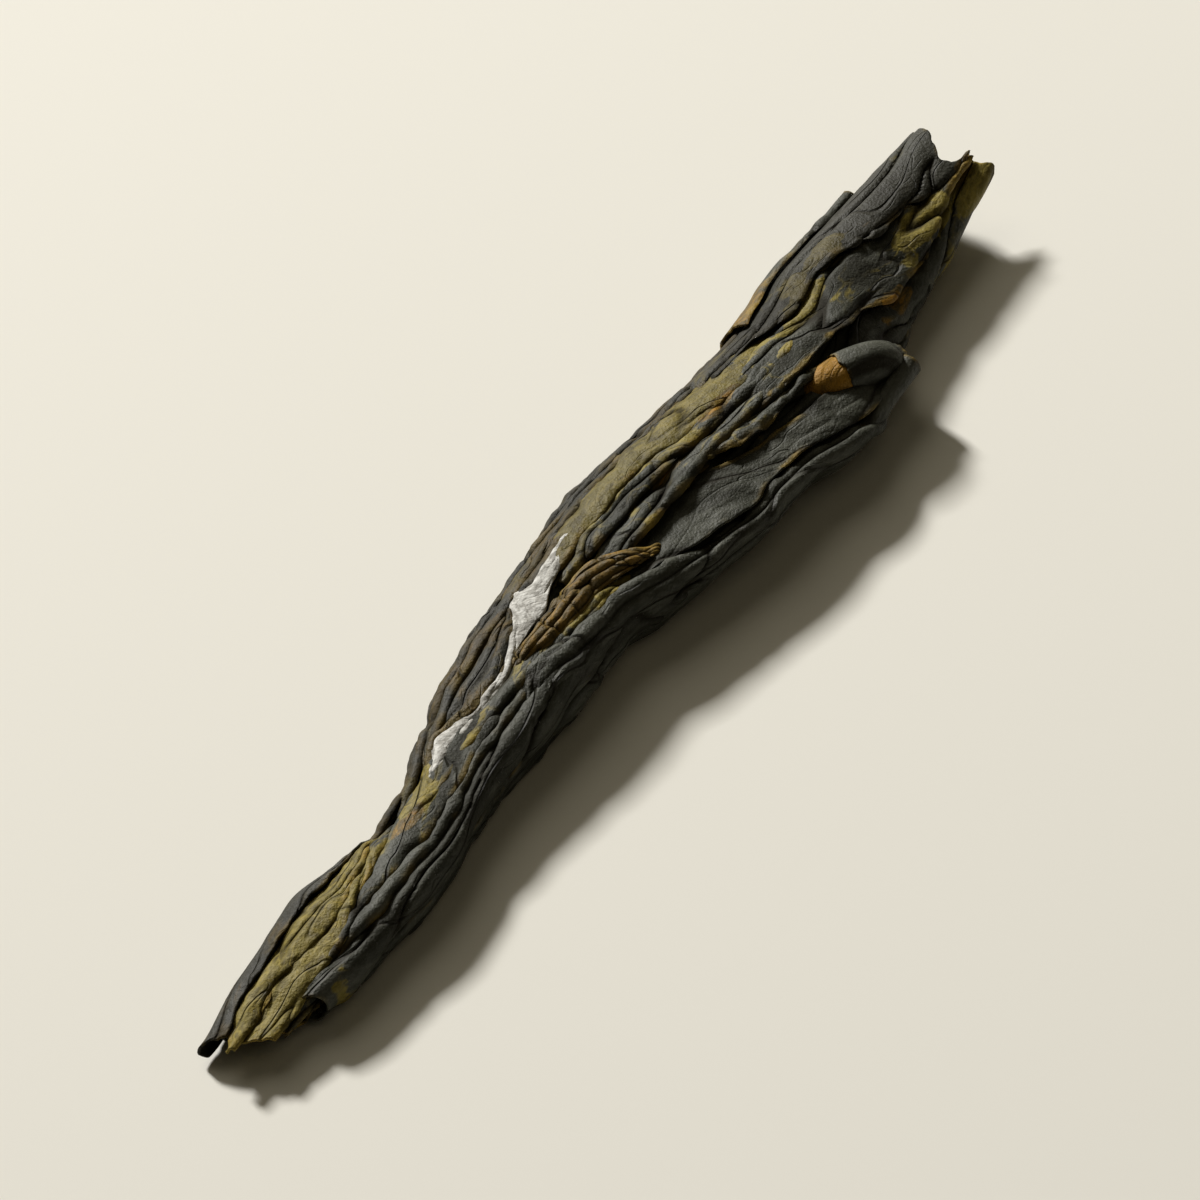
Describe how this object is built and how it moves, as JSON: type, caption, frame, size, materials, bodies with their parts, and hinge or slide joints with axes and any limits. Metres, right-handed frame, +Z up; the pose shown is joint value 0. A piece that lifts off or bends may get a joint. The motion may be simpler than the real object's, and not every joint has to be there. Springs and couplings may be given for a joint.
{
  "type": "dried wakame strand",
  "caption": "Dried wakame strand: a long kelp frond gathered into a bundle of lengthwise folds, with a sheared hollow foot, a ragged tip and rolled leaf edges.",
  "frame": {"origin": "middle of the underside, on the surface that the strand lies on", "axes": "+X along the strand from the sheared foot to the ragged tip, +Y to its left, +Z up"},
  "size_m": [0.1656, 0.0252, 0.0096],
  "materials": {
    "dried_leaf": "matte charcoal green dried leaf with olive and ochre patches and a crystalline white bloom"
  },
  "bodies": {
    "root": {"wakame_strand": "dried_leaf"}
  },
  "joints": []
}
